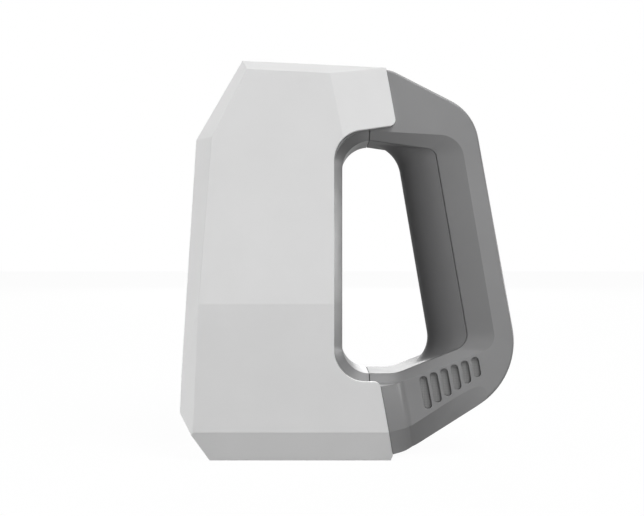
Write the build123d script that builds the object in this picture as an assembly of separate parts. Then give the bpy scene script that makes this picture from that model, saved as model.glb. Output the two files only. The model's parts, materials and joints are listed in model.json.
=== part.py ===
"""Hand-held structured-light 3D scanner: a white faceted optics housing on a grey D-shaped handle.

Frame: +Z up, the optics look along -X, Y = 0 is the plane of symmetry.
The origin is the centre of the base, under the middle of the overall box. Millimetres.
"""

from build123d import *
import math
import os

# ---------------------------------------------------------------- driving dimensions
# Overall
HEIGHT = 192.0            # base to the front end of the top face
FRONT_X = -80.3           # foremost line of the front face

# Faceted optics housing: places of its creases in side view (X, Z) and half widths (Y)
BASE_FRONT_X = -66.4
BASE_HALF_WIDTH = 22.0
LOW_CREASE_Z = 14.6       # where the sides turn in towards the base
LOW_CREASE_HALF_WIDTH = 28.5
LOW_CREASE_X = -73.4
WAIST_Z = 75.3            # widest line of the housing
WAIST_HALF_WIDTH = 32.0
WAIST_X = -70.3
SHOULDER_Z = 186.5        # where the sides turn in towards the top
SHOULDER_HALF_WIDTH = 26.0
SHOULDER_X = -48.2
BROW_Z = 154.1            # crease between the front face and the sloping brow
BROW_X = -73.6
BROW_SIDE_X = -64.6
TOP_FRONT_X = -51.0
TOP_REAR_X = 18.3
TOP_DROP = 3.3            # fall of the top face from its front to its rear end
TOP_HALF_WIDTH = 18.3
CHIN_Z = 23.1             # lowest line of the front face
FRONT_WIDE_Z = 42.3       # widest line of the front face
FRONT_WIDE_HALF_WIDTH = 25.0
NECK_FRONT_X = -8.5       # front end of the facets that narrow the housing to the handle
NECK_LOW_X = -2.8
NECK_LOW_Z = 154.7

WALL = 2.5                # moulded walls of housing and handle
GAP = 0.15                # clearance of mating fixed pieces
SLIDE_GAP = 0.4           # clearance round moving pieces

# Rear edge of the housing, where the handle takes over (side view)
BASE_REAR_X = 21.7
TOE = (20.3, 2.5)         # the rear lower corner is cut off: X at the base, height of the cut
REAR_LEAN = 0.187         # the housing's rear edges and the grip lean forward, mm per mm of height
FLAP_LOW_Z = 160.8        # lower corner of the flap above the finger loop
FLAP_RISE = 0.182         # the flap's lower edge rises towards the rear
FLAP_REAR_X = 23.2        # its rear edge at that corner
FLAP_RADIUS = 3.0
TAIL_TOP_Z = 38.6         # upper edge of the tail below the finger loop

# Finger loop: three outlines in side view, at the plane of symmetry, at the seam and at the face
LOOP_FRONT_X = -2.7       # wall of the loop at the housing
LOOP_TOP_Z = 154.0
LOOP_FLOOR_Z = 40.6
LOOP_BEND_X = 11.6        # where the ceiling starts to fall towards the grip
FLOOR_BEND_X = 23.2       # where the floor starts to rise towards the grip
LOOP_FLAT_HALF_WIDTH = 14.0
LOOP_BEVEL = 4.2          # depth of the bevel round the loop, seen from the side
LOOP_ARCH_RADIUS = 15.0
LOOP_SHARES = (-1.0, -0.75, -0.45, 0.0, 0.45, 0.75, 1.0)   # sections across the flat half width
LOOP_SEAM_X = 10.4        # joint between the loop's front frame and the handle
SEAM_GAP = 0.3
NOSE_TOP = (24.5, 151.9)  # finger side of the grip, on the plane of symmetry
NOSE_FOOT = (42.3, 47.4)
SEAM_TOP = (41.9, 149.4)  # joint between grip insert and handle shell
SEAM_FOOT = (58.4, 54.7)
FACE_TOP = (54.3, 155.8)  # inner edge of the handle's flat sides
FACE_FOOT = (71.7, 54.1)
GRIP_ELLIPSE_HALF_WIDTH = 15.0   # the ellipse that rounds the grip's finger side
ARCH_INNER_RADIUS = 14.0
ARCH_OUTER_RADIUS = 18.0
FLOOR_ARCH_RADIUS = 13.5
BEND_RADIUS = 3.0
FLOOR_BEND_RADIUS = 20.0
NOSE_TOP_RADIUS = 17.4
NOSE_FOOT_RADIUS = 15.0
SEAM_TOP_RADIUS = 4.5
SEAM_FOOT_RADIUS = 8.0
FACE_TOP_RADIUS = 12.0
FACE_FOOT_RADIUS = 8.0

# Handle
HANDLE_HALF_WIDTH = 18.0
HANDLE_EDGE_RADIUS = 1.2
BACK_TOP = (60.8, 167.3)  # corners of the handle's outer outline before rounding
BACK_FOOT = (83.8, 39.9)
BACK_TOP_RADIUS = 25.0
BACK_FOOT_RADIUS = 36.0
CREST = (20.6, 187.9)     # the handle's highest corner, behind the housing's top
HEEL = (30.5, 3.1)        # the handle's lowest corner
CREST_RADIUS = 12.0
HEEL_RADIUS = 16.0
INSERT_WALL = 2.5
INSERT_NOSE_WALL = 7.0    # the grip insert is thickest at its finger side
FLARE_LENGTH = 10.8       # the handle widens to the housing's tail over this length
FLARE_TOP_Z = 45.0
FLARE_SOFTNESS = 2.2      # its hollow corner is rounded over this length to both sides
FLARE_SINK = 0.02         # its rear end dips just under the flat sides
UNDERCUT = [              # slanting facet along the heel: distance behind the housing's rear edge,
    (0.0, (LOW_CREASE_HALF_WIDTH, LOW_CREASE_Z), (BASE_HALF_WIDTH, 0.0)),     # (Y, Z) of its crease
    (FLARE_LENGTH, (HANDLE_HALF_WIDTH, 15.2), (11.5, 5.4)),                   # and of its foot
    (53.0, (18.2, 40.0), (18.2, 30.2)),
]
UNDERCUT_OVER = 0.3       # the cut runs on beyond crease and foot by these shares of the facet
UNDERCUT_UNDER = 2.0
UNDERCUT_ROOM = 15.0

# Vent slots, each side of the handle
VENT_COUNT = 6
VENT_WIDTH = 3.7
VENT_FIRST = (37.5, 31.9)         # centre of the front slot
VENT_PITCH = (4.87, 2.46)
VENT_FIRST_LENGTH = 15.9
VENT_SHORTENING = 1.22
FILTER_THICKNESS = 1.5
FILTER_DEPTH = 1.2        # the filters' pads end this far below the handle's flat sides

# Inside the handle
CHEEK_WALL = 1.0          # the wide cavity starts this far behind the flat sides' inner edge
INSERT_LEDGE_HALF_WIDTH = 11.5
INSERT_HOLLOW_HALF_WIDTH = 8.5
FILTER_MARGIN = 1.5       # the filter mats reach this far beyond the slots
TONGUE_FRONT_X = -2.0
TONGUE_REAR_X = 20.0
LOWER_TONGUE = (5.0, 33.8, 16.0, 1.8)   # lowest Z, highest Z, half width, wall
UPPER_TONGUE = (164.0, 184.0, 13.0, 2.2)

BOSS_RADIUS = 3.0

# Front panel and windows: depths are measured inward from the front face (negative)
BEZEL_CORNERS = [(149.0, 12.0), (42.3, 21.0), (28.0, 20.2)]   # height and half width
BEZEL_FRONT = -0.4
BEZEL_REAR = -3.9
BEZEL_FLANGE = 1.6
WINDOW_REAR = -1.9
WINDOW_LEDGE = 1.3
PROJECTOR_Z = 48.0        # heights of the three optical axes on the front face
TEXTURE_Z = 88.0
GEOMETRY_Z = 130.0
WINDOWS = {
    "projector_window": (PROJECTOR_Z, 15.0),
    "texture_window": (TEXTURE_Z, 15.5),
    "geometry_window": (GEOMETRY_Z, 10.0),
}

# Optical bench, barrels and boards
BENCH_FRONT = -23.0
BENCH_REAR = -26.0
BENCH_LOW_Z = 20.0
BENCH_HIGH_Z = 150.0
BENCH_MARGIN = 0.4
RIB_HEIGHTS = (68.0, 110.0)
RIB_HEIGHT = 8.0
RIB_DEPTH = 9.0
RIB_INNER_HALF_WIDTH = 21.0
BENCH_SCREW_HALF_WIDTH = 24.5
BENCH_SCREW_LENGTH = 9.0
FLANGE = 2.5
BARREL_WALL = 1.2
BARREL_FRONT = -6.0
PROJECTOR_REAR = -45.0
CAMERA_REAR = -34.0
OPTICS = {                # height, outer radius, rear end and lens ledge of each barrel
    "projector": (PROJECTOR_Z, 12.0, PROJECTOR_REAR, -13.0),
    "texture": (TEXTURE_Z, 7.5, CAMERA_REAR, -10.5),
    "geometry": (GEOMETRY_Z, 8.0, CAMERA_REAR, -10.5),
}
CAMERA_BOARDS = {"texture": 30.0, "geometry": 26.0}
LENS_BULGE = 1.2
BOARD = 1.6               # thickness of all circuit boards
SENSOR_HEIGHT = 1.2
PLUG_DEPTH = 3.0
RING_OUTER = 16.8
RING_INNER = 8.0
LIGHT_COUNT = 6
LIGHT_RING_RADIUS = 11.0
FLASH_RADIUS = 1.6
FLASH_BASE = 0.8
LAMP_BOARD_SIZE = 24.0
LAMP_SIZE = 4.0
SINK_SIZE = 28.0
SINK_BASE = 2.5
SINK_DEPTH = 12.0
SINK_FINS = 8
SINK_FIN = 1.2

# Main board and fan
MAIN_BOARD_X = -16.0
MAIN_BOARD_Z = 111.0
MAIN_BOARD_SIZE = (44.0, 98.0)
BOARD_SCREW_PLACE = (18.0, 44.0)
BOARD_SCREW_LENGTH = 5.6
CHIPS = [                 # place x, y on the board, width, height, thickness
    (0.0, 14.0, 18.0, 18.0, 2.0), (-12.0, 34.0, 9.0, 12.0, 1.2), (12.0, 34.0, 9.0, 12.0, 1.2),
    (0.0, -14.0, 12.0, 12.0, 1.4), (-11.0, -38.0, 14.0, 5.0, 3.0), (11.0, -38.0, 14.0, 5.0, 3.0),
]
FAN_Z = 20.0
FAN_SIZE = 25.0
FAN_DEPTH = 8.0
FAN_DUCT_RADIUS = 11.6
FAN_HUB_RADIUS = 4.2
FAN_BASE = 1.4
FAN_STRUTS = 3
FAN_STRUT = 1.4
FAN_BLADES = 7
FAN_BLADE = 0.8
FAN_BLADE_ANGLE = 38.0
FAN_BLADE_CHORD = 8.0
FAN_SCREW_PLACE = 10.6
FAN_SCREW_RADIUS = 0.8
SPINDLE_RADIUS = 0.8
SPINDLE_TOP = 5.0
RUNNING_GAP = 0.05

# Rocker button on the upper slope: depths are measured inward from the slope (negative)
ROCKER_X = 38.6
ROCKER_OPENING = (22.0, 11.0)
ROCKER_LENGTH = 20.8
ROCKER_WIDTH = 10.2
ROCKER_TOP = -0.3
ROCKER_CHAMFER = 0.6
ROCKER_GROOVE = 0.4
ROCKER_ROOM = (22.6, 11.6)
CARRIER_SIZE = (25.2, 14.2)
CARRIER_LOW = -11.1
PIVOT_DEPTH = -5.0
PIN_RADIUS = 1.0
HUB_RADIUS = 2.2
HUB_LENGTH = 9.0
FOOT_RADIUS = 1.6
FOOT_LOW = -6.6
SWITCH_X = 7.0
SWITCH_SIZE = 6.0
SWITCH_TOP = -7.6
PLUNGER_TOP = -7.3
LIGHTS = [(-15.7, -5.0), (-15.7, 0.0), (-15.7, 5.0)]
LIGHT_RADIUS = 1.2
LIGHT_FLANGE = 2.0

# Sockets on the heel's slope
POWER_X = 44.0
DATA_X = 56.0
POWER_RADIUS = 3.2
POWER_BORE = 2.4
POWER_PIN = 0.7
POWER_SIZE = (9.0, 10.0)
DATA_MOUTH = (9.4, 4.6)
DATA_SIZE = (11.4, 7.0)
DATA_SHELL = 0.5
DATA_CONTACT = 1.6
SOCKET_DEPTH = -11.0
SOCKET_BOARD_SIZE = (30.0, 20.0)

# Screws
SCREW_RADIUS = 1.0
SCREW_HEAD_HEIGHT = 1.6   # per millimetre of shaft radius
THREAD_GAP = 0.05
ROOF_SCREWS = [(6.0, -7.0), (6.0, 7.0)]
BASE_SCREWS = [(13.0, -10.0), (13.0, 10.0)]
ROOF_SCREW_LENGTH = 6.0
BASE_SCREW_LENGTH = 5.8

SPAN = 200.0              # larger than the object, for cutting solids
HOUSING_MIDDLE = (-30.0, 0.0, 80.0)
HANDLE_MIDDLE = (40.0, 0.0, 60.0)
TOUCH = 0.001


# ---------------------------------------------------------------- helpers
def outline(points, radii):
    """Closed side-view face (X, Z) with one corner radius per point."""
    with BuildSketch(Plane.XZ) as sketch:
        with BuildLine():
            FilletPolyline(*points, radius=radii, close=True)
        make_face()
    return sketch.sketch.face()


def slab(face, half_width):
    """Side-view face thickened to both sides of the plane of symmetry."""
    return extrude(face, half_width, both=True)


def grown(face, amount):
    """Side-view face made larger, or smaller, all round."""
    return offset(face, amount, kind=Kind.INTERSECTION).face()


def plane_through(a, b, c, inside, inset):
    """Plane through three points, its normal away from the point inside, moved in by inset."""
    normal = (Vector(*b) - Vector(*a)).cross(Vector(*c) - Vector(*a)).normalized()
    if normal.dot(Vector(*inside) - Vector(*a)) > 0:
        normal = -normal
    return Plane(origin=Vector(*a) - normal * inset, z_dir=normal)


def both_sides(points):
    """The same three points on the far side of the plane of symmetry."""
    return [(x, -y, z) for x, y, z in points]


def box_at(low, high):
    """Box between two corners."""
    size = [h - l for l, h in zip(low, high)]
    centre = [(h + l) / 2 for l, h in zip(low, high)]
    return Pos(*centre) * Box(*size)


def solid_of(shape):
    """The largest solid of a result."""
    return max(shape.solids(), key=lambda s: s.volume)


def cylinder(frame, radius, low, high, x=0.0, y=0.0):
    """Cylinder along a frame's z axis, from low to high."""
    return frame * Pos(x, y, (low + high) / 2) * Cylinder(radius, high - low)


def tube(frame, outer, inner, low, high):
    """Tube along a frame's z axis."""
    return cylinder(frame, outer, low, high) - cylinder(frame, inner, low, high)


def plate(frame, width, height, low, high, x=0.0, y=0.0):
    """Rectangular block along a frame's z axis, from low to high."""
    return frame * Pos(x, y, (low + high) / 2) * Box(width, height, high - low)


def grown_size(size, amount):
    """Width and height with the amount added all round."""
    return [length + 2 * amount for length in size]


class Screw:
    """Screw along a frame's z axis: its head stands on the seat, its tip points to -z."""

    def __init__(self, frame, x, y, seat, length, radius=SCREW_RADIUS):
        self.frame, self.x, self.y = frame, x, y
        self.seat, self.length, self.radius = seat, length, radius

    def body(self):
        head_top = self.seat + SCREW_HEAD_HEIGHT * self.radius
        head = cylinder(self.frame, 2 * self.radius, self.seat, head_top, self.x, self.y)
        shaft = cylinder(self.frame, self.radius, self.seat - self.length, self.seat, self.x, self.y)
        socket = self.frame * Pos(self.x, self.y, head_top) * extrude(
            RegularPolygon(self.radius, 6), SCREW_HEAD_HEIGHT * self.radius / 2, both=True)
        return head + shaft - socket

    def hole(self):
        """Clearance hole for the shaft, a little longer than the screw."""
        return cylinder(self.frame, self.radius + THREAD_GAP, self.seat - self.length - THREAD_GAP,
                        self.seat, self.x, self.y)


def fused(shapes):
    """One compound of the shapes."""
    return Compound(children=[s for shape in shapes for s in shape.solids()])


# ---------------------------------------------------------------- white optics housing
def front_x_at(z):
    """The front face's X at a height: it leans forward towards the chin."""
    share = (z - CHIN_Z) / (BROW_Z - CHIN_Z)
    return FRONT_X + (BROW_X - FRONT_X) * share


def housing_form(inset=0.0):
    """The faceted convex form of the housing, every facet moved in by inset."""
    waist = (WAIST_X, WAIST_HALF_WIDTH, WAIST_Z)
    side_low = (LOW_CREASE_X, LOW_CREASE_HALF_WIDTH, LOW_CREASE_Z)
    side_high_slope = (WAIST_HALF_WIDTH - SHOULDER_HALF_WIDTH) / (SHOULDER_Z - WAIST_Z)
    brow_side_half = WAIST_HALF_WIDTH - side_high_slope * (BROW_Z - WAIST_Z)
    brow_side = (BROW_SIDE_X, brow_side_half, BROW_Z)
    shoulder = (SHOULDER_X, SHOULDER_HALF_WIDTH, SHOULDER_Z)
    top_slope = TOP_DROP / (TOP_REAR_X - TOP_FRONT_X)
    shoulder_rear = (NECK_FRONT_X, SHOULDER_HALF_WIDTH,
                     SHOULDER_Z - top_slope * (NECK_FRONT_X - SHOULDER_X))
    neck_low_half = WAIST_HALF_WIDTH - side_high_slope * (NECK_LOW_Z - WAIST_Z)
    neck_low = (NECK_LOW_X, neck_low_half, NECK_LOW_Z)
    top_front = (TOP_FRONT_X, TOP_HALF_WIDTH, HEIGHT)
    top_rear = (TOP_REAR_X, TOP_HALF_WIDTH, HEIGHT - TOP_DROP)
    front_wide = (front_x_at(FRONT_WIDE_Z), FRONT_WIDE_HALF_WIDTH, FRONT_WIDE_Z)

    across = [  # facets that cross the plane of symmetry: two points of each in side view
        ((0, 0), (1, 0)),
        ((TOP_FRONT_X, HEIGHT), (TOP_REAR_X, HEIGHT - TOP_DROP)),
        ((FRONT_X, CHIN_Z), (BROW_X, BROW_Z)),
        ((BROW_X, BROW_Z), (TOP_FRONT_X, HEIGHT)),
        ((FRONT_X, CHIN_Z), (BASE_FRONT_X, 0)),
    ]
    beside = [  # facets of one side: three points of each
        [waist, (0, WAIST_HALF_WIDTH, WAIST_Z), shoulder],
        [waist, (0, WAIST_HALF_WIDTH, WAIST_Z), side_low],
        [side_low, (0, LOW_CREASE_HALF_WIDTH, LOW_CREASE_Z), (0, BASE_HALF_WIDTH, 0)],
        [shoulder, shoulder_rear, top_front],
        [brow_side, waist, front_wide],
        [waist, side_low, front_wide],
        [shoulder_rear, neck_low, top_rear],
    ]
    # The brow's side facet runs from the front facet's corner to the shoulder.
    front_facet = plane_through(brow_side, waist, front_wide, HOUSING_MIDDLE, 0)
    n, o = front_facet.z_dir, front_facet.origin
    brow_corner_half = (n.dot(o) - n.X * BROW_X - n.Z * BROW_Z) / n.Y
    beside.append([brow_side, shoulder, (BROW_X, brow_corner_half, BROW_Z)])

    planes = [
        plane_through((x0, 0, z0), (x1, 0, z1), (x0, 1, z0), HOUSING_MIDDLE, inset)
        for (x0, z0), (x1, z1) in across
    ]
    for points in beside:
        planes.append(plane_through(*points, HOUSING_MIDDLE, inset))
        planes.append(plane_through(*both_sides(points), HOUSING_MIDDLE, inset))

    form = Box(SPAN * 2, SPAN * 2, SPAN * 4)
    for plane in planes:
        form = split(form, bisect_by=plane, keep=Keep.BOTTOM)
    return solid_of(form)


def housing_side_face():
    """Side view of the white housing: its rear edge runs round the finger loop."""
    wall_x = LOOP_FRONT_X - LOOP_BEVEL
    tail_x = BASE_REAR_X - REAR_LEAN * TAIL_TOP_Z
    flap_front_z = FLAP_LOW_Z - FLAP_RISE * (FLAP_REAR_X - wall_x)
    points = [
        (-SPAN, -SPAN), (TOE[0], -SPAN), (TOE[0], 0),
        (BASE_REAR_X - REAR_LEAN * TOE[1], TOE[1]), (tail_x, TAIL_TOP_Z),
        (wall_x, TAIL_TOP_Z), (wall_x, flap_front_z), (FLAP_REAR_X, FLAP_LOW_Z),
        (TOP_REAR_X, HEIGHT - TOP_DROP), (TOP_REAR_X, 2 * SPAN), (-SPAN, 2 * SPAN),
    ]
    radii = [0, 0, 0, 0, FLAP_RADIUS, LOOP_ARCH_RADIUS, LOOP_ARCH_RADIUS, FLAP_RADIUS, 0, 0, 0]
    return outline(points, radii)


# ---------------------------------------------------------------- optics behind the front face
def front_frame(z):
    """Frame on the front face at a height: local x across, local y up, local z outward."""
    return Plane(origin=(front_x_at(z), 0, z), x_dir=(0, -1, 0),
                 z_dir=(CHIN_Z - BROW_Z, 0, BROW_X - FRONT_X))


def bezel_face(amount):
    """Outline of the front panel on the front face, grown by an amount."""
    right = [(half, z - TEXTURE_Z) for z, half in BEZEL_CORNERS]
    left = [(-x, y) for x, y in reversed(right)]
    return offset(make_face(Polyline(*right, *left, close=True)).face(), amount)


def bezel_slab(amount, low, high):
    """The front panel's outline as a slab between two depths."""
    return front_frame(TEXTURE_Z) * Pos(0, 0, low) * extrude(bezel_face(amount), high - low)


def make_front_shell():
    """White moulded housing: thin walls, open at the rear and for the front panel."""
    shell = (housing_form() - housing_form(WALL)) & slab(housing_side_face(), SPAN)
    shell -= bezel_slab(0, -2 * WALL, WALL)
    inner = housing_form(WALL / 2)
    for z in RIB_HEIGHTS:
        depths = (BENCH_FRONT, BENCH_FRONT + RIB_DEPTH)
        rib = plate(front_frame(z), SPAN, RIB_HEIGHT, *depths)
        shell += (rib - plate(front_frame(z), 2 * RIB_INNER_HALF_WIDTH, SPAN, *depths)) & inner
    top, bottom = UPPER_TONGUE[1], LOWER_TONGUE[0]
    for x, y in ROOF_SCREWS:
        shell += Pos(x, y, (top + HEIGHT) / 2) * Cylinder(BOSS_RADIUS, HEIGHT - top) & inner
    for x, y in BASE_SCREWS:
        shell += Pos(x, y, (bottom + WALL / 2) / 2) * Cylinder(BOSS_RADIUS, bottom - WALL / 2)
    shell -= [s.hole() for s in tongue_screws() + bench_screws()]
    return solid_of(shell)


def make_front_bezel():
    """Black front panel behind the housing's front opening, with three stepped window holes."""
    panel = bezel_slab(-GAP, BEZEL_REAR, BEZEL_FRONT) + bezel_slab(BEZEL_FLANGE, BEZEL_REAR, -WALL)
    for z, radius in WINDOWS.values():
        panel -= cylinder(front_frame(z), radius + GAP, WINDOW_REAR, WALL)
        panel -= cylinder(front_frame(z), radius - WINDOW_LEDGE, 2 * BEZEL_REAR, WALL)
    return solid_of(panel)


def make_window(z, radius):
    """Round glass window, flush in the front panel."""
    return cylinder(front_frame(z), radius, WINDOW_REAR, BEZEL_FRONT)


def make_optical_bench():
    """Metal plate across the housing that carries projector and cameras in line."""
    bench = plate(front_frame(TEXTURE_Z), SPAN, SPAN, BENCH_REAR, BENCH_FRONT)
    bench &= housing_form(WALL + BENCH_MARGIN)
    bench &= box_at((-SPAN, -SPAN, BENCH_LOW_Z), (0, SPAN, BENCH_HIGH_Z))
    for z, radius, *_ in OPTICS.values():
        bench -= cylinder(front_frame(z), radius + GAP, 2 * BENCH_REAR, 0)
    bench -= [s.hole() for s in bench_screws()]
    return solid_of(bench)


def bench_screws():
    """Four screws from behind through the optical bench into the housing's ribs."""
    screws = []
    for z in RIB_HEIGHTS:
        frame = front_frame(z)
        back = Plane(origin=frame.origin, x_dir=frame.x_dir, z_dir=-frame.z_dir)
        for x in (-BENCH_SCREW_HALF_WIDTH, BENCH_SCREW_HALF_WIDTH):
            screws.append(Screw(back, x, 0, -BENCH_REAR, BENCH_SCREW_LENGTH))
    return screws


def make_barrel(z, outer, rear, ledge):
    """Lens barrel with a flange that seats on the front of the bench; the lens sits on a ledge."""
    frame = front_frame(z)
    body = cylinder(frame, outer, rear, BARREL_FRONT)
    body += cylinder(frame, outer + FLANGE, BENCH_FRONT, BENCH_FRONT + FLANGE)
    body -= cylinder(frame, outer - BARREL_WALL, ledge, BARREL_FRONT)
    body -= cylinder(frame, outer - 2 * BARREL_WALL, rear, BARREL_FRONT)
    return solid_of(body)


def make_lens(z, outer, ledge):
    """Glass lens with a curved front, on the ledge of its barrel."""
    frame = front_frame(z)
    radius = outer - BARREL_WALL - THREAD_GAP
    high = BARREL_FRONT - BARREL_WALL
    sphere_radius = (radius ** 2 + LENS_BULGE ** 2) / (2 * LENS_BULGE)
    ball = frame * Pos(0, 0, high - sphere_radius) * Sphere(sphere_radius)
    return solid_of(cylinder(frame, radius, ledge, high) & ball)


def make_camera_board(z, size, outer, rear):
    """Camera circuit board against the rear of its barrel, with the image sensor."""
    frame = front_frame(z)
    board = plate(frame, size, size, rear - BOARD, rear)
    sensor_size = outer - BARREL_WALL
    sensor = plate(frame, sensor_size, sensor_size, rear, rear + SENSOR_HEIGHT)
    plug = plate(frame, size / 2, PLUG_DEPTH, rear - BOARD - PLUG_DEPTH, rear - BOARD, 0, -size / 4)
    return board + sensor + plug


def light_places():
    """Places of the flash lights on their ring, round the texture camera."""
    for i in range(LIGHT_COUNT):
        angle = math.tau * (i + 0.5) / LIGHT_COUNT
        yield LIGHT_RING_RADIUS * math.cos(angle), LIGHT_RING_RADIUS * math.sin(angle)


def make_flash_ring_board():
    """Ring-shaped board behind the front panel round the texture camera."""
    return tube(front_frame(TEXTURE_Z), RING_OUTER, RING_INNER, BEZEL_REAR - BOARD, BEZEL_REAR)


def make_flash_lights():
    """Round flash lights on the ring board."""
    frame = front_frame(TEXTURE_Z)
    lights = []
    for x, y in light_places():
        base = cylinder(frame, FLASH_RADIUS, BEZEL_REAR, BEZEL_REAR + FLASH_BASE, x, y)
        dome = frame * Pos(x, y, BEZEL_REAR + FLASH_BASE) * Sphere(FLASH_BASE)
        lights.append(base + dome)
    return fused(lights)


def make_heat_sink():
    """Finned aluminium heat sink behind the projector's lamp board."""
    frame = front_frame(PROJECTOR_Z)
    front = PROJECTOR_REAR - BOARD
    sink = plate(frame, SINK_SIZE, SINK_SIZE, front - SINK_BASE, front)
    for i in range(SINK_FINS):
        x = (i / (SINK_FINS - 1) - 0.5) * (SINK_SIZE - SINK_FIN)
        sink += plate(frame, SINK_FIN, SINK_SIZE, front - SINK_DEPTH, front, x)
    return sink


def make_lamp_board():
    """Board with the projector's lamp, closing the rear of the projector barrel."""
    frame = front_frame(PROJECTOR_Z)
    board = plate(frame, LAMP_BOARD_SIZE, LAMP_BOARD_SIZE, PROJECTOR_REAR - BOARD, PROJECTOR_REAR)
    return board + plate(frame, LAMP_SIZE, LAMP_SIZE, PROJECTOR_REAR, PROJECTOR_REAR + SENSOR_HEIGHT)


# ---------------------------------------------------------------- finger loop
def loop_face(front_x, ceiling_z, floor_z, top, foot, corner_radii):
    """One outline of the finger loop in side view; all have the same corners."""
    points = [
        (front_x, ceiling_z), (LOOP_BEND_X, ceiling_z), top, foot,
        (FLOOR_BEND_X, floor_z), (front_x, floor_z),
    ]
    return outline(points, corner_radii)


def between(near, far, share):
    """Point part of the way from near to far."""
    return tuple(n + (f - n) * share for n, f in zip(near, far))


def grip_loop_face(half_width):
    """The loop's outline at a distance from the plane of symmetry: the grip is rounded there."""
    def rounding(y):
        return 1 - math.sqrt(1 - (y / GRIP_ELLIPSE_HALF_WIDTH) ** 2)

    share = rounding(half_width) / rounding(LOOP_FLAT_HALF_WIDTH)
    top = between(NOSE_TOP, SEAM_TOP, share)
    foot = between(NOSE_FOOT, SEAM_FOOT, share)
    top_radius = NOSE_TOP_RADIUS + (SEAM_TOP_RADIUS - NOSE_TOP_RADIUS) * share
    foot_radius = NOSE_FOOT_RADIUS + (SEAM_FOOT_RADIUS - NOSE_FOOT_RADIUS) * share
    radii = [ARCH_INNER_RADIUS, BEND_RADIUS, top_radius, foot_radius,
             FLOOR_BEND_RADIUS, FLOOR_ARCH_RADIUS]
    return loop_face(LOOP_FRONT_X, LOOP_TOP_Z, LOOP_FLOOR_Z, top, foot, radii)


def face_loop_face():
    """The loop's outline on the handle's flat sides, outside the bevel."""
    radii = [ARCH_OUTER_RADIUS, BEND_RADIUS, FACE_TOP_RADIUS, FACE_FOOT_RADIUS,
             FLOOR_BEND_RADIUS, ARCH_OUTER_RADIUS]
    return loop_face(LOOP_FRONT_X - LOOP_BEVEL, LOOP_TOP_Z + LOOP_BEVEL,
                     LOOP_FLOOR_Z - LOOP_BEVEL, FACE_TOP, FACE_FOOT, radii)


def loop_opening():
    """Everything that the finger loop leaves open: rounded grip, bevels and the open sides."""
    sections = []
    for share in LOOP_SHARES:
        y = share * LOOP_FLAT_HALF_WIDTH
        sections.append(Pos(0, y, 0) * grip_loop_face(abs(y)))
    opening = loft(sections)
    seam, face = grip_loop_face(LOOP_FLAT_HALF_WIDTH), face_loop_face()
    for side in (-1, 1):
        opening += loft([Pos(0, side * LOOP_FLAT_HALF_WIDTH, 0) * seam,
                         Pos(0, side * HANDLE_HALF_WIDTH, 0) * face], ruled=True)
        opening += Pos(0, side * (HANDLE_HALF_WIDTH + SPAN / 2), 0) * slab(face, SPAN / 2)
    return opening


def ahead_of_seam():
    """Half space in front of the seam between the loop frame and the handle."""
    return box_at((-SPAN, -SPAN, -SPAN), (LOOP_SEAM_X - SEAM_GAP / 2, SPAN, 2 * SPAN))


def behind_seam():
    """Half space behind that seam."""
    return box_at((LOOP_SEAM_X + SEAM_GAP / 2, -SPAN, -SPAN), (SPAN, SPAN, 2 * SPAN))


# ---------------------------------------------------------------- loop frame
def make_loop_frame(opening):
    """Grey frame that closes the housing's rear and lines the front of the finger loop."""
    ring = slab(grown(face_loop_face(), WALL), SPAN)
    frame = ring & ahead_of_seam() & housing_form(WALL + GAP)
    boss_root = MAIN_BOARD_X - (LOOP_FRONT_X - LOOP_BEVEL - WALL / 2)
    for screw in board_screws():
        frame += cylinder(board_frame(), BOSS_RADIUS, boss_root, -BOARD, screw.x, screw.y)
    return solid_of(frame - opening - [s.hole() for s in board_screws()])


# ---------------------------------------------------------------- handle
def handle_outline():
    """The handle's outer outline in side view, closed inside the housing."""
    front_x = LOOP_SEAM_X
    points = [(front_x, CREST[1]), CREST, BACK_TOP, BACK_FOOT, HEEL, (front_x, HEEL[1])]
    return outline(points, [0, CREST_RADIUS, BACK_TOP_RADIUS, BACK_FOOT_RADIUS, HEEL_RADIUS, 0])


def leaning_face(behind, corners):
    """Face across the handle, parallel to the housing's rear edge, from (Y, Z) corners."""
    points = [(BASE_REAR_X + behind - REAR_LEAN * z, y, z) for y, z in corners]
    return make_face(Polyline(*points, close=True)).face()


def flare_half_width(start, behind):
    """Half width of the flare at a distance behind the housing's edge, where it starts."""
    steepness = (start - HANDLE_HALF_WIDTH) / FLARE_LENGTH
    if behind <= FLARE_LENGTH - FLARE_SOFTNESS:
        return start - steepness * behind
    rest = FLARE_LENGTH + FLARE_SOFTNESS - behind
    return HANDLE_HALF_WIDTH - FLARE_SINK + steepness * rest ** 2 / (4 * FLARE_SOFTNESS)


def flare():
    """The handle widens to meet the housing's tail; the hollow corner is rounded softly."""
    lean = (WAIST_HALF_WIDTH - LOW_CREASE_HALF_WIDTH) / (WAIST_Z - LOW_CREASE_Z)
    starts = [(LOW_CREASE_HALF_WIDTH + lean * (z - LOW_CREASE_Z), z) for z in (0, FLARE_TOP_Z)]

    def section(behind):
        right = [(flare_half_width(start, behind), z) for start, z in starts]
        return leaning_face(behind, right + [(-y, z) for y, z in reversed(right)])

    soft = [section(FLARE_LENGTH + FLARE_SOFTNESS * share) for share in (-1, -0.5, 0, 0.5, 1)]
    flat = loft([section(0), soft[0]], ruled=True)
    return (flat + loft(soft)) & slab(handle_outline(), SPAN)


def undercut():
    """What the slanting facets along both sides of the heel cut away; they fade to the rear."""
    cuts = []
    for side in (-1, 1):
        sections = []
        for behind, crease, foot in UNDERCUT:
            top = between(foot, crease, 1 + UNDERCUT_OVER)
            bottom = between(crease, foot, 1 + UNDERCUT_UNDER)
            outer = (crease[0] + UNDERCUT_ROOM, bottom[1])
            sections.append(leaning_face(behind, [(side * y, z) for y, z in (top, bottom, outer)]))
        cuts.append(loft(sections, ruled=True))
    return cuts


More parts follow.
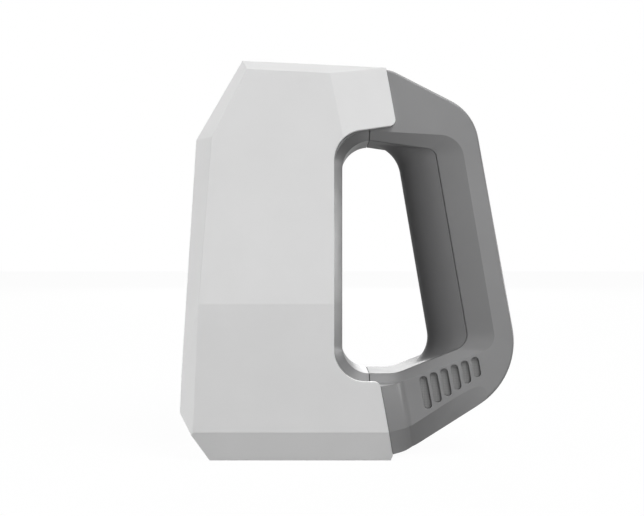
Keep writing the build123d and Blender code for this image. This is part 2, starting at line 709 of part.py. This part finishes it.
def handle_form():
    """The handle's outside behind the housing, still solid, the finger loop not yet cut."""
    form = slab(handle_outline(), HANDLE_HALF_WIDTH)
    rims = form.edges().filter_by(lambda e: abs(abs(e.center().Y) - HANDLE_HALF_WIDTH) < TOUCH)
    form = fillet(rims, HANDLE_EDGE_RADIUS) + flare() - undercut()
    return form - slab(grown(housing_side_face(), GAP), SPAN)


def above_undercut(shape):
    """What remains of a shape a wall's thickness inside the heel's slanting facets."""
    points = [(BASE_REAR_X + behind - REAR_LEAN * z, y, z)
              for behind, *ends in UNDERCUT[1:] for y, z in ends][:3]
    for corners in (points, both_sides(points)):
        cut = plane_through(*corners, HANDLE_MIDDLE, WALL)
        shape = split(shape, bisect_by=cut, keep=Keep.BOTTOM)
    return shape


def handle_cavity():
    """Room inside the handle: narrow behind the grip insert, wide behind the flat sides."""
    inner = grown(handle_outline(), -WALL)
    behind_insert = inner - grown(grip_loop_face(LOOP_FLAT_HALF_WIDTH), INSERT_WALL + GAP)
    behind_face = inner - grown(face_loop_face(), CHEEK_WALL)
    cavity = slab(behind_insert.face(), INSERT_LEDGE_HALF_WIDTH)
    cavity += slab(behind_face.face(), HANDLE_HALF_WIDTH - WALL)
    return above_undercut(cavity)


def closing_lips():
    """Walls on the handle that close the housing behind the flap and the tail."""
    side = housing_side_face()
    band = grown(side, GAP) - grown(side, -WALL)
    lips = slab(band.face(), SPAN) & housing_form(WALL + GAP) & behind_seam()
    return lips & box_at((LOOP_SEAM_X, -SPAN, 0), (FLAP_REAR_X + WALL, SPAN, HEIGHT))


def tongue(low, high, half_width, wall):
    """Hollow tongue with which the handle reaches into the housing, and the channel in it."""
    outer = box_at((TONGUE_FRONT_X, -half_width, low), (TONGUE_REAR_X, half_width, high))
    channel = box_at((TONGUE_FRONT_X + WALL, wall - half_width, low + wall),
                     (TONGUE_REAR_X + WALL, half_width - wall, high - wall))
    return outer, channel


def vent_frames():
    """Frame and length of every vent slot, seen from the side."""
    for i in range(VENT_COUNT):
        centre = (VENT_FIRST[0] + i * VENT_PITCH[0], 0, VENT_FIRST[1] + i * VENT_PITCH[1])
        frame = Plane(origin=centre, x_dir=(REAR_LEAN, 0, -1), z_dir=(0, 1, 0))
        yield frame, VENT_FIRST_LENGTH - i * VENT_SHORTENING


def slots(half_width, gap):
    """The vent slots' outlines, smaller by a gap, as blocks across the handle."""
    return [extrude(frame * SlotOverall(length - 2 * gap, VENT_WIDTH - 2 * gap).face(),
                    half_width, both=True) for frame, length in vent_frames()]


def make_vent_filters(cavity):
    """Two filter mats inside the slotted walls; their raised pads fill the slots."""
    frames = list(vent_frames())
    corners = []
    for (frame, length), way in zip((frames[0], frames[-1]), (-1, 1)):
        across = -way * (VENT_WIDTH / 2 + FILTER_MARGIN)
        for end in (-way, way):
            along = end * (length / 2 + FILTER_MARGIN)
            corners.append(frame.from_local_coords((along, across, 0)))
    mat = make_face(Polyline(*corners, close=True)).face()
    wall = HANDLE_HALF_WIDTH - WALL
    back = wall - FILTER_THICKNESS
    mats = slab(mat, wall) & cavity
    return mats + slots(HANDLE_HALF_WIDTH - FILTER_DEPTH, GAP) - box_at((0, -back, 0), (SPAN, back, SPAN))


def slope_frame(start, end, x, outward):
    """Frame on an outer line of the handle: local x to the rear along it, local z outward."""
    place = between(start, end, (x - start[0]) / (end[0] - start[0]))
    along = Vector(end[0] - start[0], 0, end[1] - start[1]).normalized()
    return Plane(origin=(place[0], 0, place[1]), x_dir=along,
                 z_dir=Vector(-along.Z, 0, along.X) * outward)


def slope_top():
    """Frame at the middle of the button opening, on the slope behind the housing's top."""
    return slope_frame(CREST, BACK_TOP, ROCKER_X, 1)


def slope_heel(x):
    """Frame at a socket on the slope below the handle."""
    return slope_frame(HEEL, BACK_FOOT, x, -1)


def make_handle_shell(opening, cavity):
    """Grey handle moulding: D-shaped, hollow, with tongues that reach into the housing."""
    shell = (handle_form() - cavity + closing_lips()) & behind_seam()
    shell = shell - opening - seam_pocket() - slots(SPAN, 0)
    lower, lower_channel = tongue(*LOWER_TONGUE)
    upper, upper_channel = tongue(*UPPER_TONGUE)
    shell = shell + lower + upper - lower_channel - upper_channel
    shell -= cylinder(fan_frame_plane(), FAN_DUCT_RADIUS, -2 * WALL, TOUCH)
    shell -= [slope_top() * Pos(0, 0, -WALL) * Box(*ROCKER_OPENING, 3 * WALL)]
    shell -= [cylinder(slope_top(), LIGHT_RADIUS + GAP, -2 * WALL, WALL, *place) for place in LIGHTS]
    shell -= cylinder(slope_heel(POWER_X), POWER_RADIUS + GAP, -2 * WALL, WALL)
    shell -= slope_heel(DATA_X) * Box(*grown_size(DATA_MOUTH, GAP), 3 * WALL)
    shell -= [s.hole() for s in tongue_screws() + fan_screws()]
    return solid_of(shell)


def seam_pocket():
    """Recess in the handle that takes the grip insert."""
    band = grown(grip_loop_face(LOOP_FLAT_HALF_WIDTH), INSERT_WALL + GAP)
    return slab(band, LOOP_FLAT_HALF_WIDTH + GAP)


def make_grip_insert(opening):
    """Dark soft insert on the finger side of the grip, hollow from behind."""
    seam = grip_loop_face(LOOP_FLAT_HALF_WIDTH)
    insert = slab(grown(seam, INSERT_WALL), LOOP_FLAT_HALF_WIDTH) - opening
    hollow = grown(seam, INSERT_WALL) - grown(grip_loop_face(0), INSERT_NOSE_WALL)
    insert -= slab(hollow.face(), INSERT_HOLLOW_HALF_WIDTH)
    return solid_of(insert & behind_seam())


# ---------------------------------------------------------------- electronics and fan
def board_frame():
    """Frame on the front of the main board: local x across, local y up, local z to the front."""
    return Plane(origin=(MAIN_BOARD_X, 0, MAIN_BOARD_Z), x_dir=(0, -1, 0), z_dir=(-1, 0, 0))


def board_screws():
    """Four screws through the main board into the loop frame's bosses."""
    x, y = BOARD_SCREW_PLACE
    return [Screw(board_frame(), x * side, y * way, 0, BOARD_SCREW_LENGTH)
            for side in (-1, 1) for way in (-1, 1)]


def make_main_board():
    """Main circuit board, upright on four bosses of the loop frame."""
    board = plate(board_frame(), *MAIN_BOARD_SIZE, -BOARD, 0)
    return solid_of(board - [s.hole() for s in board_screws()])


def make_board_chips():
    """Processor, memory and plugs on the front of the main board."""
    chips = [plate(board_frame(), width, height, 0, depth, x, y)
             for x, y, width, height, depth in CHIPS]
    return fused(chips)


def fan_frame_plane():
    """Frame on the front end of the lower tongue: local z to the front."""
    return Plane(origin=(TONGUE_FRONT_X, 0, FAN_Z), x_dir=(0, -1, 0), z_dir=(-1, 0, 0))


def fan_screws():
    """Four screws through the fan's corners into the tongue's front wall."""
    places = (-FAN_SCREW_PLACE, FAN_SCREW_PLACE)
    return [Screw(fan_frame_plane(), x, y, FAN_DEPTH, FAN_DEPTH + WALL, FAN_SCREW_RADIUS)
            for x in places for y in places]


def make_fan_frame():
    """Square fan frame with a round duct; three struts carry the fixed spindle."""
    frame = fan_frame_plane()
    body = plate(frame, FAN_SIZE, FAN_SIZE, 0, FAN_DEPTH)
    body -= cylinder(frame, FAN_DUCT_RADIUS, 0, FAN_DEPTH)
    for i in range(FAN_STRUTS):
        strut = Rot(0, 0, 360 * i / FAN_STRUTS) * Pos(FAN_DUCT_RADIUS / 2, 0, FAN_BASE / 2) * Box(
            FAN_DUCT_RADIUS + FAN_STRUT, FAN_STRUT, FAN_BASE)
        body += frame * strut
    body += cylinder(frame, FAN_HUB_RADIUS, 0, FAN_BASE)
    body += cylinder(frame, SPINDLE_RADIUS, 0, SPINDLE_TOP)
    return solid_of(body - [s.hole() for s in fan_screws()])


def make_fan_rotor():
    """Fan wheel: hub with curved blades, turning on the spindle."""
    frame = fan_frame_plane()
    low, high = FAN_BASE + SLIDE_GAP, FAN_DEPTH - SLIDE_GAP
    rotor = cylinder(frame, FAN_HUB_RADIUS, low, high)
    tip = FAN_DUCT_RADIUS - SLIDE_GAP
    reach = tip - FAN_HUB_RADIUS
    blade = Rot(FAN_BLADE_ANGLE, 0, 0) * Box(reach + FAN_BLADE, FAN_BLADE_CHORD, FAN_BLADE)
    for i in range(FAN_BLADES):
        place = Rot(0, 0, 360 * i / FAN_BLADES) * Pos((FAN_HUB_RADIUS + tip) / 2, 0, (low + high) / 2)
        rotor += frame * place * blade
    rotor &= cylinder(frame, tip, low, high)
    return solid_of(rotor - cylinder(frame, SPINDLE_RADIUS + RUNNING_GAP, 0, SPINDLE_TOP + SLIDE_GAP))


# ---------------------------------------------------------------- buttons, lights and sockets
def make_button_carrier():
    """Frame inside the handle round the rocker button; its side walls hold the pin."""
    frame = slope_top()
    carrier = plate(frame, *CARRIER_SIZE, CARRIER_LOW, -WALL)
    carrier -= plate(frame, *ROCKER_ROOM, CARRIER_LOW, -WALL)
    return solid_of(carrier - pin(frame, PIN_RADIUS + THREAD_GAP, SPAN))


def pin(frame, radius, length):
    """The rocker's pin, across the handle."""
    place = frame.from_local_coords((0, 0, PIVOT_DEPTH))
    return Pos(*place) * Rot(90, 0, 0) * Cylinder(radius, length)


def make_rocker_pin():
    """Steel pin in the carrier on which the rocker button tilts."""
    return pin(slope_top(), PIN_RADIUS, CARRIER_SIZE[1])


def make_rocker_button():
    """Two-way rocker button: pressed up or down it reaches the switch below that end."""
    frame = slope_top()
    rocker = plate(frame, ROCKER_LENGTH, ROCKER_WIDTH, PIVOT_DEPTH, ROCKER_TOP)
    top = rocker.faces().sort_by(Axis(frame.origin, frame.z_dir))[-1]
    rocker = chamfer(top.edges(), ROCKER_CHAMFER)
    groove = Pos(0, 0, ROCKER_TOP + ROCKER_GROOVE) * Rot(90, 0, 0) * Cylinder(2 * ROCKER_GROOVE, SPAN)
    rocker -= frame * groove
    rocker += pin(frame, HUB_RADIUS, HUB_LENGTH)
    for side in (-1, 1):
        rocker += cylinder(frame, FOOT_RADIUS, FOOT_LOW, PIVOT_DEPTH, side * SWITCH_X)
    return solid_of(rocker - pin(frame, PIN_RADIUS + RUNNING_GAP, SPAN))


def make_button_board():
    """Circuit board under the carrier."""
    return plate(slope_top(), *CARRIER_SIZE, CARRIER_LOW - BOARD, CARRIER_LOW)


def make_switches():
    """Two push switches on the button board, one under each end of the rocker."""
    frame = slope_top()
    switches = []
    for side in (-1, 1):
        body = plate(frame, SWITCH_SIZE, SWITCH_SIZE, CARRIER_LOW, SWITCH_TOP, side * SWITCH_X)
        switches.append(body + cylinder(frame, FOOT_RADIUS, SWITCH_TOP, PLUNGER_TOP, side * SWITCH_X))
    return fused(switches)


def make_status_lights():
    """Three light pipes in front of the button, flush with the handle."""
    frame = slope_top()
    lights = []
    for place in LIGHTS:
        lights.append(cylinder(frame, LIGHT_RADIUS, -WALL, 0, *place)
                      + cylinder(frame, LIGHT_FLANGE, -WALL - LIGHT_RADIUS, -WALL, *place))
    return fused(lights)


def make_power_inlet():
    """Round power socket with its middle contact, behind the heel's slope."""
    frame = slope_heel(POWER_X)
    inlet = plate(frame, *POWER_SIZE, SOCKET_DEPTH, -WALL) + cylinder(frame, POWER_RADIUS, -WALL, -GAP)
    inlet -= cylinder(frame, POWER_BORE, SOCKET_DEPTH + WALL, 0)
    return inlet + cylinder(frame, POWER_PIN, SOCKET_DEPTH + WALL, -WALL)


def make_data_socket():
    """Flat data socket with its contact tongue, behind the heel's slope."""
    frame = slope_heel(DATA_X)
    socket = plate(frame, *DATA_SIZE, SOCKET_DEPTH, -WALL) + plate(frame, *DATA_MOUTH, -WALL, -GAP)
    socket -= plate(frame, *grown_size(DATA_MOUTH, -DATA_SHELL), SOCKET_DEPTH + WALL, 0)
    contact = grown_size(DATA_MOUTH, -DATA_CONTACT)
    return socket + plate(frame, *contact, SOCKET_DEPTH + WALL, -WALL)


def make_socket_board():
    """Small board behind both sockets."""
    middle = slope_heel((POWER_X + DATA_X) / 2)
    return plate(middle, *SOCKET_BOARD_SIZE, SOCKET_DEPTH - BOARD, SOCKET_DEPTH)


def tongue_screws():
    """Two screws up into the roof and two down into the base hold the handle to the housing."""
    wall, low, high = LOWER_TONGUE[3], LOWER_TONGUE[0], UPPER_TONGUE[1]
    up = Plane(origin=(0, 0, high - UPPER_TONGUE[3]), x_dir=(1, 0, 0), z_dir=(0, 0, -1))
    down = Plane(origin=(0, 0, low + wall), x_dir=(1, 0, 0), z_dir=(0, 0, 1))
    return ([Screw(up, x, y, 0, ROOF_SCREW_LENGTH) for x, y in ROOF_SCREWS]
            + [Screw(down, x, y, 0, BASE_SCREW_LENGTH) for x, y in BASE_SCREWS])


def main():
    opening = loop_opening()
    cavity = handle_cavity()
    nodes = {
        "front_shell": make_front_shell(),
        "front_bezel": make_front_bezel(),
        "optical_bench": make_optical_bench(),
        "flash_ring_board": make_flash_ring_board(),
        "flash_lights": make_flash_lights(),
        "projector_lamp_board": make_lamp_board(),
        "projector_heat_sink": make_heat_sink(),
        "loop_frame": make_loop_frame(opening),
        "handle_shell": make_handle_shell(opening, cavity),
        "grip_insert": make_grip_insert(opening),
        "vent_filters": make_vent_filters(cavity),
        "main_board": make_main_board(),
        "main_board_chips": make_board_chips(),
        "fan_frame": make_fan_frame(),
        "fan_rotor": make_fan_rotor(),
        "button_carrier": make_button_carrier(),
        "rocker_pin": make_rocker_pin(),
        "rocker_button": make_rocker_button(),
        "button_board": make_button_board(),
        "button_switches": make_switches(),
        "status_lights": make_status_lights(),
        "power_inlet": make_power_inlet(),
        "data_socket": make_data_socket(),
        "socket_board": make_socket_board(),
        "handle_screws": fused(s.body() for s in tongue_screws()),
        "bench_screws": fused(s.body() for s in bench_screws()),
        "main_board_screws": fused(s.body() for s in board_screws()),
        "fan_screws": fused(s.body() for s in fan_screws()),
    }
    for name, (z, radius) in WINDOWS.items():
        nodes[name] = make_window(z, radius)
    for name, (z, outer, rear, ledge) in OPTICS.items():
        nodes[f"{name}_barrel"] = make_barrel(z, outer, rear, ledge)
        nodes[f"{name}_lens"] = make_lens(z, outer, ledge)
    for name, size in CAMERA_BOARDS.items():
        z, outer, rear, _ = OPTICS[name]
        nodes[f"{name}_camera_board"] = make_camera_board(z, size, outer, rear)
    os.makedirs("parts", exist_ok=True)
    for name, shape in nodes.items():
        export_step(shape, f"parts/{name}.step")


if __name__ == "__main__":
    main()
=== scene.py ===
"""Looks of the hand-held 3D scanner: materials, floor, light and camera around the fixed frame."""

import json
import math

import bpy
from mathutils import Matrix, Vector

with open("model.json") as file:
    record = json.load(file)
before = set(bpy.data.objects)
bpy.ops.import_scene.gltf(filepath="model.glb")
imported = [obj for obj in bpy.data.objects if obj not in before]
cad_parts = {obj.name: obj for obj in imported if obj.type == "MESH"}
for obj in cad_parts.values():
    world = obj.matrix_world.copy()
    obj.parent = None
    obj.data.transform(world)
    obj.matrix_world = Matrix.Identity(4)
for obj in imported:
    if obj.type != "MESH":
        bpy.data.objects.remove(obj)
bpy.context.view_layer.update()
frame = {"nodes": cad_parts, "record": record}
scene = bpy.context.scene
scene.view_settings.view_transform = "Standard"

# ---------------------------------------------------------------- values (metres, watts, degrees)
VIEW_CENTRE = Vector((-0.0126, 0.0, 0.09685))    # what the photograph is centred on
VIEW_DISTANCE = 0.450
LENS = 50.0                                      # millimetres, on a 36 mm wide frame

WHITE = 0.80                                     # base colours of the two large mouldings
GREY = 0.268
PAINTED_SHADE_SLOPE = (0.10, 0.30)                         # |normal X| over which the painted shade on faces that look fore or aft sets in

GRAIN = 0.00028                                  # size of the moulded grain
GRAIN_STRENGTH = 0.6
EDGE_SAMPLES = 6                                 # for creases that look a little rounded
TINT_PATCH = 0.03                                # patches over which a colour drifts
POLISH_PATCH = 0.02                              # patches over which the roughness drifts
POLISH_DRIFT = 0.06                              # and how far, either way
BRUSH_SCALE = 900.0                              # brushed lines in a metre
BRUSH_SHADE = 0.9                                # how dark they are
BRUSH_DRIFT = 0.08                               # roughness between the lines, either way
TRACK_SCALE = 260.0                              # circuit board cells in a metre
TRACK_EDGE = (0.05, 0.12)                        # distance to a cell's edge where a track ends
MESH_SCALE = 400.0                               # filter mesh waves in a metre
MESH_SHADE = 0.75                                # how dark its openings are
NOISE_MIDDLE = (0.3, 0.7)                        # where the values of soft noise mostly lie
RAMP_MIDDLE = (0.35, 0.65)                       # part of a factor over which two colours blend

FLOOR_SIZE = 12.0
FLOOR_ROUGHNESS = 0.9
FLOOR_BOUNCE = 0.46                              # how much light the floor sends back up
FLOOR_WHITE_SHARE = 0.93                         # plain white in what is seen; the rest is lit
FLOOR_GLOW = 1.04                                # makes up for the darker lit share
SIDE_FADE = (0.35, 0.85)                         # sideways share over which gloss sees less white
SIDE_GLOSS = 0.1                                 # what gloss sees to the left and right
FLOOR_SEEN_FROM = VIEW_CENTRE + Vector((0.0, 0.014, 0.0))    # by gloss, inside the object
FLOOR_FRONT = Vector((-0.27, -0.96, 0.0))        # where gloss sees the floor as white
FRONT_FADE = (0.0, 0.3)                          # frontward share over which that sets in


# ---------------------------------------------------------------- node helpers
def feed(tree, socket, value):
    """Gives a socket a number, a vector or another node's output."""
    if isinstance(value, bpy.types.NodeSocket):
        tree.links.new(value, socket)
    else:
        socket.default_value = value


def maths(tree, operation, *values):
    """One sum of the node tree; values are numbers or other nodes' outputs."""
    node = tree.nodes.new("ShaderNodeMath")
    node.operation = operation
    for socket, value in zip(node.inputs, values):
        feed(tree, socket, value)
    return node.outputs["Value"]


def vector_maths(tree, operation, *values, scale=None):
    """The same for vectors; the operation SCALE takes a scale."""
    node = tree.nodes.new("ShaderNodeVectorMath")
    node.operation = operation
    for socket, value in zip(node.inputs, values):
        feed(tree, socket, value)
    if scale is not None:
        feed(tree, node.inputs["Scale"], scale)
    return node.outputs["Value" if operation == "DOT_PRODUCT" else "Vector"]


def mapped(tree, value, ends, low_result, high_result):
    """A value mapped from the two ends to other results, held at them beyond."""
    node = tree.nodes.new("ShaderNodeMapRange")
    tree.links.new(value, node.inputs["Value"])
    sockets = ("From Min", "From Max", "To Min", "To Max")
    for socket, end in zip(sockets, (*ends, low_result, high_result)):
        node.inputs[socket].default_value = end
    return node.outputs["Result"]


# ---------------------------------------------------------------- material helpers
materials = {}                                   # finished materials by the record's slot names


class Material:
    """A node material on object coordinates, built up from a Principled shader."""

    def __init__(self, slot, roughness, **sockets):
        materials[slot] = bpy.data.materials.new(slot)
        materials[slot].use_nodes = True
        self.tree = materials[slot].node_tree
        self.shader = self.tree.nodes["Principled BSDF"]
        self.shader.inputs["Roughness"].default_value = roughness
        for socket, value in sockets.items():
            self.shader.inputs[socket.replace("_", " ")].default_value = value
        coordinates = self.tree.nodes.new("ShaderNodeTexCoord")
        self.place = coordinates.outputs["Object"]
        self.normal = coordinates.outputs["Normal"]

    def node(self, kind, **inputs):
        """A new node with its inputs fed; an underscore stands for a space in a name."""
        node = self.tree.nodes.new(kind)
        for socket, value in inputs.items():
            feed(self.tree, node.inputs[socket.replace("_", " ")], value)
        return node

    def feed(self, socket, value):
        """Feeds a socket of the Principled shader."""
        feed(self.tree, self.shader.inputs[socket], value)

    def noise(self, size, detail=2.0):
        """Soft noise between 0 and 1 whose features are about size metres across."""
        return self.node("ShaderNodeTexNoise", Vector=self.place, Scale=1 / size,
                         Detail=detail).outputs["Fac"]

    def drift(self, fac, middle, reach):
        """A value that drifts with a factor, by reach to either side of its middle."""
        return mapped(self.tree, fac, NOISE_MIDDLE, middle - reach, middle + reach)

    def colour_between(self, fac, dark, light):
        """Colour ramp from dark to light over the middle of a factor."""
        ramp = self.node("ShaderNodeValToRGB", Fac=fac)
        elements = ramp.color_ramp.elements
        for element, position, colour in zip(elements, RAMP_MIDDLE, (dark, light)):
            element.position = position
            element.color = (*colour, 1.0)
        return ramp.outputs["Color"]

    def tint(self, colour, variation, size, painted_end_shade=1.0):
        """Base colour that drifts over patches of the given size.

        An end shade below 1 paints shade into the colour where the surface looks forwards or
        backwards (-X or +X).
        """
        dark = [c * (1 - variation) for c in colour]
        light = [min(1.0, c * (1 + variation)) for c in colour]
        base = self.colour_between(self.noise(size, detail=4.0), dark, light)
        if painted_end_shade < 1.0:
            # Painted shade: the colour darkens as the normal turns to -X or +X, whatever the lamps
            # do.
            axes = self.node("ShaderNodeSeparateXYZ", Vector=self.normal)
            slope = maths(self.tree, "ABSOLUTE", axes.outputs["X"])
            painted_shade = mapped(self.tree, slope, PAINTED_SHADE_SLOPE, 1.0, painted_end_shade)
            base = vector_maths(self.tree, "SCALE", base, scale=painted_shade)
        self.feed("Base Color", base)

    def bump(self, height, strength, distance, edge=0.0):
        """Surface relief; an edge radius rounds the creases' highlight."""
        node = self.node("ShaderNodeBump", Height=height, Strength=strength, Distance=distance)
        if edge:
            bevel = self.node("ShaderNodeBevel", Radius=edge)
            bevel.samples = EDGE_SAMPLES
            feed(self.tree, node.inputs["Normal"], bevel.outputs["Normal"])
        self.feed("Normal", node.outputs["Normal"])


def moulded(slot, colour, roughness, grain=GRAIN, depth=0.00003, edge=0.0, variation=0.03,
            painted_end_shade=1.0):
    """Moulded plastic with a fine spark-eroded grain; hands have polished some patches; an end
    shade below 1 paints shade onto faces that look fore or aft.
    """
    made = Material(slot, roughness)
    made.tint(colour, variation, TINT_PATCH, painted_end_shade)
    made.feed("Roughness", made.drift(made.noise(POLISH_PATCH, detail=3.0), roughness,
                                      POLISH_DRIFT))
    cells = made.node("ShaderNodeTexVoronoi", Vector=made.place, Scale=1 / grain)
    cells.feature = "SMOOTH_F1"
    made.bump(cells.outputs["Distance"], GRAIN_STRENGTH, depth, edge)


def brushed(slot, colour, roughness, stretch):
    """Machined or brushed metal; the stretch gives how fine its lines are along each axis."""
    made = Material(slot, roughness, Metallic=1.0)
    stretched = made.node("ShaderNodeMapping", Vector=made.place, Scale=stretch)
    lines = made.node("ShaderNodeTexNoise", Vector=stretched.outputs["Vector"],
                      Scale=BRUSH_SCALE, Detail=3.0).outputs["Fac"]
    dark = [c * BRUSH_SHADE for c in colour]
    made.feed("Base Color", made.colour_between(lines, dark, colour))
    made.feed("Roughness", made.drift(lines, roughness, BRUSH_DRIFT))
    made.bump(lines, strength=0.3, distance=0.00002)


def coated_glass(slot, colour, roughness):
    """Clear glass with a coloured coating that is a little uneven."""
    made = Material(slot, roughness, IOR=1.5, Transmission_Weight=0.9)
    made.tint(colour, variation=0.06, size=0.012)
    made.bump(made.noise(size=0.02), strength=0.05, distance=0.00001)


def circuit_board(slot, mask, over_copper):
    """Solder mask, lighter over the copper tracks, which stand a little proud."""
    made = Material(slot, roughness=0.35)
    cells = made.node("ShaderNodeTexVoronoi", Vector=made.place, Scale=TRACK_SCALE)
    cells.feature = "DISTANCE_TO_EDGE"
    track = mapped(made.tree, cells.outputs["Distance"], TRACK_EDGE, 1.0, 0.0)
    made.feed("Base Color", made.colour_between(track, mask, over_copper))
    made.bump(track, strength=0.4, distance=0.00004)


def woven(slot, colour):
    """Fine filter mesh of waves along two axes."""
    made = Material(slot, roughness=0.85)
    waves = []
    for direction in ("X", "Z"):
        wave = made.node("ShaderNodeTexWave", Vector=made.place, Scale=MESH_SCALE)
        wave.bands_direction = direction
        waves.append(wave.outputs["Fac"])
    mesh = maths(made.tree, "MULTIPLY", *waves)
    dark = [c * MESH_SHADE for c in colour]
    made.feed("Base Color", made.colour_between(mesh, dark, colour))
    made.bump(mesh, strength=0.4, distance=0.0001)


# ---------------------------------------------------------------- materials
moulded("white_plastic", (WHITE, WHITE, WHITE), roughness=0.42, depth=0.00002, edge=0.0006,
        variation=0.012)
# The grey gets painted shade on its fore and aft faces (bevels, flare): 0.80 of its colour there.
moulded("grey_plastic", (GREY, GREY, GREY * 1.01), roughness=0.36, edge=0.0004, painted_end_shade=0.80)
moulded("grip_rubber", (0.155, 0.155, 0.157), roughness=0.45, grain=1.6 * GRAIN)
moulded("black_plastic", (0.022, 0.022, 0.024), roughness=0.45)
moulded("button_plastic", (0.06, 0.06, 0.062), roughness=0.38, depth=0.00002, edge=0.0003)
moulded("chip_plastic", (0.035, 0.035, 0.037), roughness=0.5, grain=0.5 * GRAIN, depth=0.00001)
moulded("flash_lens", (0.86, 0.83, 0.62), roughness=0.2, grain=4 * GRAIN, depth=0.00001)
moulded("light_pipe", (0.70, 0.74, 0.71), roughness=0.3, grain=2 * GRAIN, depth=0.00001)
coated_glass("window_glass", (0.42, 0.46, 0.56), roughness=0.03)
coated_glass("lens_glass", (0.45, 0.50, 0.72), roughness=0.02)
brushed("bench_metal", (0.72, 0.72, 0.74), roughness=0.32, stretch=(1.0, 1.0, 12.0))
brushed("barrel_metal", (0.05, 0.05, 0.052), roughness=0.35, stretch=(1.0, 14.0, 14.0))
brushed("socket_metal", (0.62, 0.62, 0.62), roughness=0.28, stretch=(1.0, 1.0, 8.0))
brushed("screw_steel", (0.55, 0.55, 0.56), roughness=0.3, stretch=(6.0, 6.0, 1.0))
circuit_board("circuit_board", mask=(0.010, 0.085, 0.035), over_copper=(0.030, 0.190, 0.080))
woven("filter_mat", (0.34, 0.34, 0.34))

for entry in frame["record"]["subparts"]:
    node = frame["nodes"][entry["node"]]
    for material_slot in node.material_slots:
        material_slot.material = materials[entry["material_slot"]]


# ---------------------------------------------------------------- floor, light and camera
def gloss_share(tree, direction):
    """How much white gloss sees in a direction from the object: less to the left and right."""
    axes = tree.nodes.new("ShaderNodeSeparateXYZ")
    tree.links.new(direction, axes.inputs["Vector"])
    return mapped(tree, maths(tree, "ABSOLUTE", axes.outputs["X"]), SIDE_FADE, 1.0, SIDE_GLOSS)


def seen_white(tree, share):
    """1 for rays from the camera or through glass, the given share for gloss, else 0."""
    path = tree.nodes.new("ShaderNodeLightPath")
    seen = maths(tree, "MAXIMUM", path.outputs["Is Camera Ray"],
                 path.outputs["Is Transmission Ray"])
    return maths(tree, "MAXIMUM", seen,
                 maths(tree, "MULTIPLY", path.outputs["Is Glossy Ray"], share))


def make_world():
    """Plain white behind the object, which itself is lit by the lamps alone."""
    world = bpy.data.worlds.new("studio")
    scene.world = world
    world.use_nodes = True
    tree = world.node_tree
    background = tree.nodes["Background"]
    background.inputs["Color"].default_value = (1.0, 1.0, 1.0, 1.0)
    direction = tree.nodes.new("ShaderNodeTexCoord").outputs["Generated"]
    white = seen_white(tree, gloss_share(tree, direction))
    tree.links.new(white, background.inputs["Strength"])


def make_floor():
    """White floor: mostly plain white to the camera, but it keeps the object's soft shadow.

    Gloss sees only its front part as white, so that the finger loop's ceiling stays dark.
    """
    bpy.ops.mesh.primitive_plane_add(size=FLOOR_SIZE)
    floor = bpy.context.object
    floor.name = "floor"
    material = bpy.data.materials.new("floor")
    material.use_nodes = True
    tree = material.node_tree
    shader = tree.nodes["Principled BSDF"]
    shader.inputs["Base Color"].default_value = (FLOOR_BOUNCE, FLOOR_BOUNCE, FLOOR_BOUNCE, 1.0)
    shader.inputs["Roughness"].default_value = FLOOR_ROUGHNESS
    glow = tree.nodes.new("ShaderNodeEmission")
    glow.inputs["Strength"].default_value = FLOOR_GLOW
    place = tree.nodes.new("ShaderNodeNewGeometry").outputs["Position"]
    direction = vector_maths(tree, "NORMALIZE",
                             vector_maths(tree, "SUBTRACT", place, FLOOR_SEEN_FROM))
    frontwards = vector_maths(tree, "DOT_PRODUCT", direction, FLOOR_FRONT)
    in_front = mapped(tree, frontwards, FRONT_FADE, 0.0, 1.0)
    share = maths(tree, "MULTIPLY", gloss_share(tree, direction), in_front)
    white = seen_white(tree, share)
    mix = tree.nodes.new("ShaderNodeMixShader")
    tree.links.new(maths(tree, "MULTIPLY", white, FLOOR_WHITE_SHARE), mix.inputs["Fac"])
    tree.links.new(shader.outputs["BSDF"], mix.inputs[1])
    tree.links.new(glow.outputs["Emission"], mix.inputs[2])
    tree.links.new(mix.outputs["Shader"], tree.nodes["Material Output"].inputs["Surface"])
    floor.data.materials.append(material)


def area_light(name, direction, distance, size, power, aim=VIEW_CENTRE, spread=180.0,
               mirrored=True):
    """Square soft light in a direction from what it is aimed at, turned to it."""
    light = bpy.data.lights.new(name, "AREA")
    light.size = size
    light.spread = math.radians(spread)
    light.energy = power
    lamp = bpy.data.objects.new(name, light)
    away = Vector(direction).normalized()
    lamp.location = aim + away * distance
    lamp.rotation_euler = (-away).to_track_quat("-Z", "Y").to_euler()
    lamp.visible_glossy = mirrored
    scene.collection.objects.link(lamp)


def make_camera():
    """The photograph's view: square on to the object's side, from its -Y side."""
    camera = bpy.data.objects.new("camera", bpy.data.cameras.new("camera"))
    camera.data.lens = LENS
    camera.location = VIEW_CENTRE - Vector((0, VIEW_DISTANCE, 0))
    camera.rotation_euler = (math.pi / 2, 0, 0)
    scene.collection.objects.link(camera)
    scene.camera = camera


make_world()
make_floor()
area_light("key", (0.40, -0.52, 0.75), distance=2.4, size=1.3, power=41.0)
area_light("top", (0.30, -0.20, 0.93), distance=2.4, size=1.3, power=10.0)
area_light("front", (-0.15, -0.98, 0.03), distance=2.4, size=1.0, power=8.0)
# Not mirrored, so that the windows of the front stay dark.
area_light("left", (-0.985, -0.15, 0.05), distance=2.2, size=0.9, power=40.0, mirrored=False)
area_light("back", (0.0, 0.93, 0.36), distance=2.4, size=1.2, power=18.0)
# A narrow beam through the finger loop onto the rim that lines its front.
area_light("loop", (1.0, -0.036, 0.019), distance=0.70, size=0.08, power=0.0140,
           aim=Vector((0.0, -0.027, 0.102)), spread=14.0)
make_camera()
